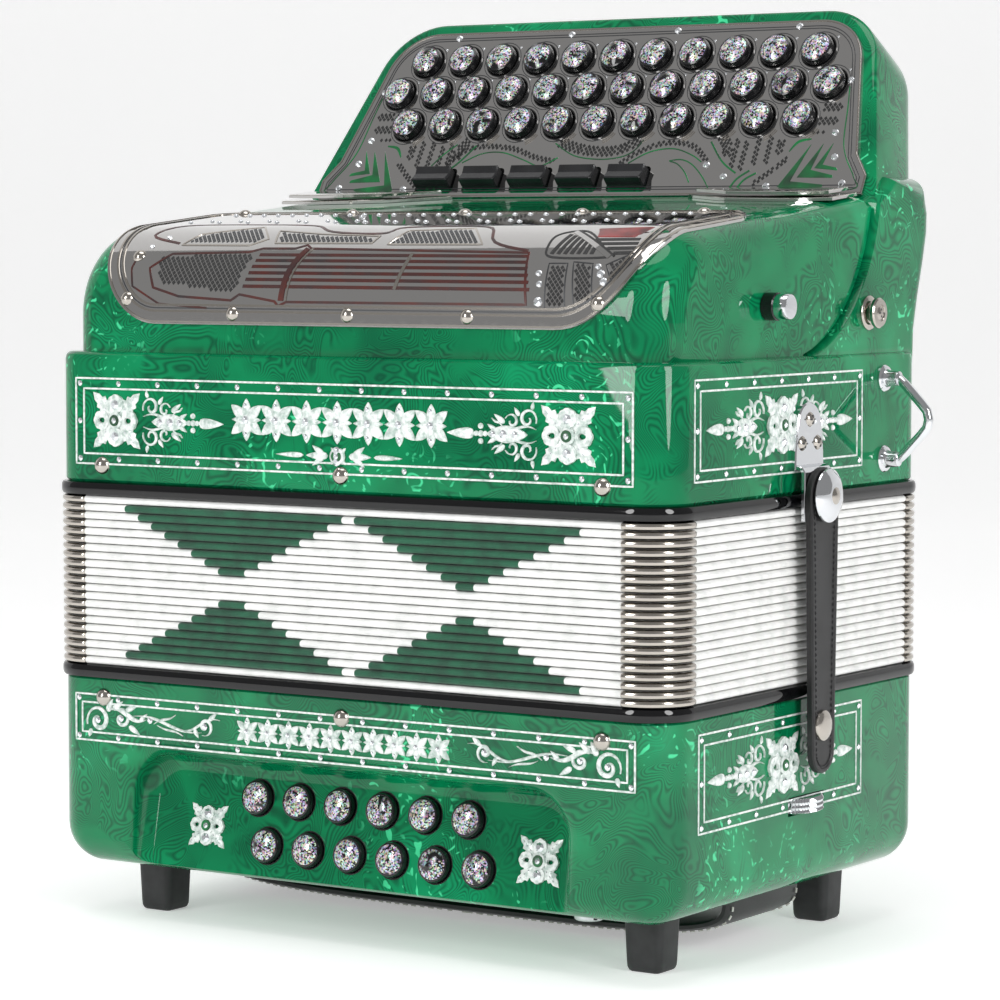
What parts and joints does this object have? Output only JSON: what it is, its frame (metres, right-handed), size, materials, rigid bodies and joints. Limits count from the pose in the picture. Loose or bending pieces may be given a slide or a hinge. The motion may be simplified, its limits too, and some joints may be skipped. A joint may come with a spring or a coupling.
{
  "type": "button accordion",
  "caption": "Three-row diatonic button accordion standing on its bass end: green pearloid cases, folding bellows between them, leaning button board, bass button recess, straps and feet.",
  "frame": {"origin": "middle of the bounding box seen from above, at the bottom of the feet", "axes": "+Z from the bass end up to the fingerboard, which is the way the bellows open; X along the long side, with the strap hardware at +X; the grille and the bass buttons face -Y"},
  "size_m": [0.325, 0.2612, 0.3801],
  "materials": {
    "green_pearloid": "wood shell covered in green pearloid celluloid, high gloss",
    "black_lacquer": "black gloss lacquer",
    "bellows_cloth": "pleated card with white and dark green cloth tape",
    "polished_plate": "bright plated sheet, engraved and pierced",
    "chrome_hardware": "bright nickel plate",
    "black_leather": "black leather, stitched",
    "black_rubber": "moulded rubber",
    "reed_wood": "plain spruce and maple",
    "glitter_button": "clear domed cap over black with silver glitter",
    "dark_tab": "dark grey gloss plastic"
  },
  "bodies": {
    "bass_end": {"bass_case": "green_pearloid", "bass_end_plate": "green_pearloid", "rubber_feet": "black_rubber", "hand_strap": "black_leather", "bass_reed_blocks": "reed_wood", "bellows_frame_lower": "black_lacquer", "bellows_folds": "bellows_cloth"},
    "treble_end": {"bellows_frame_upper": "black_lacquer", "treble_case": "green_pearloid", "treble_hood": "green_pearloid", "grille_plate": "polished_plate", "fingerboard": "green_pearloid", "fingerboard_plate": "polished_plate", "treble_reed_blocks": "reed_wood", "strap_fittings": "chrome_hardware"},
    "bellows_strap": {"bellows_strap": "black_leather"},
    "volume_knob": {"volume_knob": "chrome_hardware"},
    "strap_wheel": {"strap_wheel": "chrome_hardware"},
    "air_button": {"air_button": "chrome_hardware"},
    "bass_row_upper": {"bass_buttons_upper": "glitter_button"},
    "bass_row_lower": {"bass_buttons_lower": "glitter_button"},
    "register_tab_1": {"register_tab_1": "dark_tab"},
    "register_tab_2": {"register_tab_2": "dark_tab"},
    "register_tab_3": {"register_tab_3": "dark_tab"},
    "register_tab_4": {"register_tab_4": "dark_tab"},
    "register_tab_5": {"register_tab_5": "dark_tab"},
    "treble_button_01": {"treble_button_01": "glitter_button"},
    "treble_button_02": {"treble_button_02": "glitter_button"},
    "treble_button_03": {"treble_button_03": "glitter_button"},
    "treble_button_04": {"treble_button_04": "glitter_button"},
    "treble_button_05": {"treble_button_05": "glitter_button"},
    "treble_button_06": {"treble_button_06": "glitter_button"},
    "treble_button_07": {"treble_button_07": "glitter_button"},
    "treble_button_08": {"treble_button_08": "glitter_button"},
    "treble_button_09": {"treble_button_09": "glitter_button"},
    "treble_button_10": {"treble_button_10": "glitter_button"},
    "treble_button_11": {"treble_button_11": "glitter_button"},
    "treble_button_12": {"treble_button_12": "glitter_button"},
    "treble_button_13": {"treble_button_13": "glitter_button"},
    "treble_button_14": {"treble_button_14": "glitter_button"},
    "treble_button_15": {"treble_button_15": "glitter_button"},
    "treble_button_16": {"treble_button_16": "glitter_button"},
    "treble_button_17": {"treble_button_17": "glitter_button"},
    "treble_button_18": {"treble_button_18": "glitter_button"},
    "treble_button_19": {"treble_button_19": "glitter_button"},
    "treble_button_20": {"treble_button_20": "glitter_button"},
    "treble_button_21": {"treble_button_21": "glitter_button"},
    "treble_button_22": {"treble_button_22": "glitter_button"},
    "treble_button_23": {"treble_button_23": "glitter_button"},
    "treble_button_24": {"treble_button_24": "glitter_button"},
    "treble_button_25": {"treble_button_25": "glitter_button"},
    "treble_button_26": {"treble_button_26": "glitter_button"},
    "treble_button_27": {"treble_button_27": "glitter_button"},
    "treble_button_28": {"treble_button_28": "glitter_button"},
    "treble_button_29": {"treble_button_29": "glitter_button"},
    "treble_button_30": {"treble_button_30": "glitter_button"},
    "treble_button_31": {"treble_button_31": "glitter_button"},
    "treble_button_32": {"treble_button_32": "glitter_button"},
    "treble_button_33": {"treble_button_33": "glitter_button"},
    "treble_button_34": {"treble_button_34": "glitter_button"}
  },
  "joints": [
    {"name": "bellows_open", "type": "slide", "parent": "bass_end", "child": "treble_end", "axis": [0, 0, 1], "range_m": [0, 0.26], "deforming": ["bellows_folds"]},
    {"name": "bellows_strap_swing", "type": "hinge", "parent": "treble_end", "child": "bellows_strap", "pos_m": [0.1475, -0.02208, 0.18204], "axis": [1, 0, 0], "range_deg": [-90, 70]},
    {"name": "knob_turn", "type": "hinge", "parent": "treble_end", "child": "volume_knob", "pos_m": [0.1345, -0.04508, 0.25654], "axis": [1, 0, 0], "range_deg": [-135, 135]},
    {"name": "strap_wheel_turn", "type": "hinge", "parent": "bass_end", "child": "strap_wheel", "pos_m": [0.126, -0.02008, 0.0588], "axis": [0, 0, 1], "range_deg": [-540, 540]},
    {"name": "air_button_press", "type": "slide", "parent": "bass_end", "child": "air_button", "axis": [0, 0, 1], "range_m": [0, 0.005], "stiffness_N_per_m": 400, "springref_m": -0.003},
    {"name": "bass_row_upper_press", "type": "slide", "parent": "bass_end", "child": "bass_row_upper", "axis": [0, 0.9835, -0.1809], "range_m": [0, 0.003], "stiffness_N_per_m": 1200, "springref_m": -0.003},
    {"name": "bass_row_lower_press", "type": "slide", "parent": "bass_end", "child": "bass_row_lower", "axis": [0, 0.9835, -0.1809], "range_m": [0, 0.003], "stiffness_N_per_m": 1200, "springref_m": -0.003},
    {"name": "register_tab_1_rock", "type": "hinge", "parent": "treble_end", "child": "register_tab_1", "pos_m": [-0.0865, 0.05277, 0.30751], "axis": [1, 0, 0], "range_deg": [0, 14]},
    {"name": "register_tab_2_rock", "type": "hinge", "parent": "treble_end", "child": "register_tab_2", "pos_m": [-0.0615, 0.05277, 0.30751], "axis": [1, 0, 0], "range_deg": [0, 14]},
    {"name": "register_tab_3_rock", "type": "hinge", "parent": "treble_end", "child": "register_tab_3", "pos_m": [-0.0365, 0.05277, 0.30751], "axis": [1, 0, 0], "range_deg": [0, 14]},
    {"name": "register_tab_4_rock", "type": "hinge", "parent": "treble_end", "child": "register_tab_4", "pos_m": [-0.0115, 0.05277, 0.30751], "axis": [1, 0, 0], "range_deg": [0, 14]},
    {"name": "register_tab_5_rock", "type": "hinge", "parent": "treble_end", "child": "register_tab_5", "pos_m": [0.0135, 0.05277, 0.30751], "axis": [1, 0, 0], "range_deg": [0, 14]},
    {"name": "treble_button_01_press", "type": "slide", "parent": "treble_end", "child": "treble_button_01", "axis": [0, 0.8755, -0.4833], "range_m": [0, 0.0035], "stiffness_N_per_m": 300, "springref_m": -0.003},
    {"name": "treble_button_02_press", "type": "slide", "parent": "treble_end", "child": "treble_button_02", "axis": [0, 0.8755, -0.4833], "range_m": [0, 0.0035], "stiffness_N_per_m": 300, "springref_m": -0.003},
    {"name": "treble_button_03_press", "type": "slide", "parent": "treble_end", "child": "treble_button_03", "axis": [0, 0.8755, -0.4833], "range_m": [0, 0.0035], "stiffness_N_per_m": 300, "springref_m": -0.003},
    {"name": "treble_button_04_press", "type": "slide", "parent": "treble_end", "child": "treble_button_04", "axis": [0, 0.8755, -0.4833], "range_m": [0, 0.0035], "stiffness_N_per_m": 300, "springref_m": -0.003},
    {"name": "treble_button_05_press", "type": "slide", "parent": "treble_end", "child": "treble_button_05", "axis": [0, 0.8755, -0.4833], "range_m": [0, 0.0035], "stiffness_N_per_m": 300, "springref_m": -0.003},
    {"name": "treble_button_06_press", "type": "slide", "parent": "treble_end", "child": "treble_button_06", "axis": [0, 0.8755, -0.4833], "range_m": [0, 0.0035], "stiffness_N_per_m": 300, "springref_m": -0.003},
    {"name": "treble_button_07_press", "type": "slide", "parent": "treble_end", "child": "treble_button_07", "axis": [0, 0.8755, -0.4833], "range_m": [0, 0.0035], "stiffness_N_per_m": 300, "springref_m": -0.003},
    {"name": "treble_button_08_press", "type": "slide", "parent": "treble_end", "child": "treble_button_08", "axis": [0, 0.8755, -0.4833], "range_m": [0, 0.0035], "stiffness_N_per_m": 300, "springref_m": -0.003},
    {"name": "treble_button_09_press", "type": "slide", "parent": "treble_end", "child": "treble_button_09", "axis": [0, 0.8755, -0.4833], "range_m": [0, 0.0035], "stiffness_N_per_m": 300, "springref_m": -0.003},
    {"name": "treble_button_10_press", "type": "slide", "parent": "treble_end", "child": "treble_button_10", "axis": [0, 0.8755, -0.4833], "range_m": [0, 0.0035], "stiffness_N_per_m": 300, "springref_m": -0.003},
    {"name": "treble_button_11_press", "type": "slide", "parent": "treble_end", "child": "treble_button_11", "axis": [0, 0.8755, -0.4833], "range_m": [0, 0.0035], "stiffness_N_per_m": 300, "springref_m": -0.003},
    {"name": "treble_button_12_press", "type": "slide", "parent": "treble_end", "child": "treble_button_12", "axis": [0, 0.8755, -0.4833], "range_m": [0, 0.0035], "stiffness_N_per_m": 300, "springref_m": -0.003},
    {"name": "treble_button_13_press", "type": "slide", "parent": "treble_end", "child": "treble_button_13", "axis": [0, 0.8755, -0.4833], "range_m": [0, 0.0035], "stiffness_N_per_m": 300, "springref_m": -0.003},
    {"name": "treble_button_14_press", "type": "slide", "parent": "treble_end", "child": "treble_button_14", "axis": [0, 0.8755, -0.4833], "range_m": [0, 0.0035], "stiffness_N_per_m": 300, "springref_m": -0.003},
    {"name": "treble_button_15_press", "type": "slide", "parent": "treble_end", "child": "treble_button_15", "axis": [0, 0.8755, -0.4833], "range_m": [0, 0.0035], "stiffness_N_per_m": 300, "springref_m": -0.003},
    {"name": "treble_button_16_press", "type": "slide", "parent": "treble_end", "child": "treble_button_16", "axis": [0, 0.8755, -0.4833], "range_m": [0, 0.0035], "stiffness_N_per_m": 300, "springref_m": -0.003},
    {"name": "treble_button_17_press", "type": "slide", "parent": "treble_end", "child": "treble_button_17", "axis": [0, 0.8755, -0.4833], "range_m": [0, 0.0035], "stiffness_N_per_m": 300, "springref_m": -0.003},
    {"name": "treble_button_18_press", "type": "slide", "parent": "treble_end", "child": "treble_button_18", "axis": [0, 0.8755, -0.4833], "range_m": [0, 0.0035], "stiffness_N_per_m": 300, "springref_m": -0.003},
    {"name": "treble_button_19_press", "type": "slide", "parent": "treble_end", "child": "treble_button_19", "axis": [0, 0.8755, -0.4833], "range_m": [0, 0.0035], "stiffness_N_per_m": 300, "springref_m": -0.003},
    {"name": "treble_button_20_press", "type": "slide", "parent": "treble_end", "child": "treble_button_20", "axis": [0, 0.8755, -0.4833], "range_m": [0, 0.0035], "stiffness_N_per_m": 300, "springref_m": -0.003},
    {"name": "treble_button_21_press", "type": "slide", "parent": "treble_end", "child": "treble_button_21", "axis": [0, 0.8755, -0.4833], "range_m": [0, 0.0035], "stiffness_N_per_m": 300, "springref_m": -0.003},
    {"name": "treble_button_22_press", "type": "slide", "parent": "treble_end", "child": "treble_button_22", "axis": [0, 0.8755, -0.4833], "range_m": [0, 0.0035], "stiffness_N_per_m": 300, "springref_m": -0.003},
    {"name": "treble_button_23_press", "type": "slide", "parent": "treble_end", "child": "treble_button_23", "axis": [0, 0.8755, -0.4833], "range_m": [0, 0.0035], "stiffness_N_per_m": 300, "springref_m": -0.003},
    {"name": "treble_button_24_press", "type": "slide", "parent": "treble_end", "child": "treble_button_24", "axis": [0, 0.8755, -0.4833], "range_m": [0, 0.0035], "stiffness_N_per_m": 300, "springref_m": -0.003},
    {"name": "treble_button_25_press", "type": "slide", "parent": "treble_end", "child": "treble_button_25", "axis": [0, 0.8755, -0.4833], "range_m": [0, 0.0035], "stiffness_N_per_m": 300, "springref_m": -0.003},
    {"name": "treble_button_26_press", "type": "slide", "parent": "treble_end", "child": "treble_button_26", "axis": [0, 0.8755, -0.4833], "range_m": [0, 0.0035], "stiffness_N_per_m": 300, "springref_m": -0.003},
    {"name": "treble_button_27_press", "type": "slide", "parent": "treble_end", "child": "treble_button_27", "axis": [0, 0.8755, -0.4833], "range_m": [0, 0.0035], "stiffness_N_per_m": 300, "springref_m": -0.003},
    {"name": "treble_button_28_press", "type": "slide", "parent": "treble_end", "child": "treble_button_28", "axis": [0, 0.8755, -0.4833], "range_m": [0, 0.0035], "stiffness_N_per_m": 300, "springref_m": -0.003},
    {"name": "treble_button_29_press", "type": "slide", "parent": "treble_end", "child": "treble_button_29", "axis": [0, 0.8755, -0.4833], "range_m": [0, 0.0035], "stiffness_N_per_m": 300, "springref_m": -0.003},
    {"name": "treble_button_30_press", "type": "slide", "parent": "treble_end", "child": "treble_button_30", "axis": [0, 0.8755, -0.4833], "range_m": [0, 0.0035], "stiffness_N_per_m": 300, "springref_m": -0.003},
    {"name": "treble_button_31_press", "type": "slide", "parent": "treble_end", "child": "treble_button_31", "axis": [0, 0.8755, -0.4833], "range_m": [0, 0.0035], "stiffness_N_per_m": 300, "springref_m": -0.003},
    {"name": "treble_button_32_press", "type": "slide", "parent": "treble_end", "child": "treble_button_32", "axis": [0, 0.8755, -0.4833], "range_m": [0, 0.0035], "stiffness_N_per_m": 300, "springref_m": -0.003},
    {"name": "treble_button_33_press", "type": "slide", "parent": "treble_end", "child": "treble_button_33", "axis": [0, 0.8755, -0.4833], "range_m": [0, 0.0035], "stiffness_N_per_m": 300, "springref_m": -0.003},
    {"name": "treble_button_34_press", "type": "slide", "parent": "treble_end", "child": "treble_button_34", "axis": [0, 0.8755, -0.4833], "range_m": [0, 0.0035], "stiffness_N_per_m": 300, "springref_m": -0.003}
  ]
}
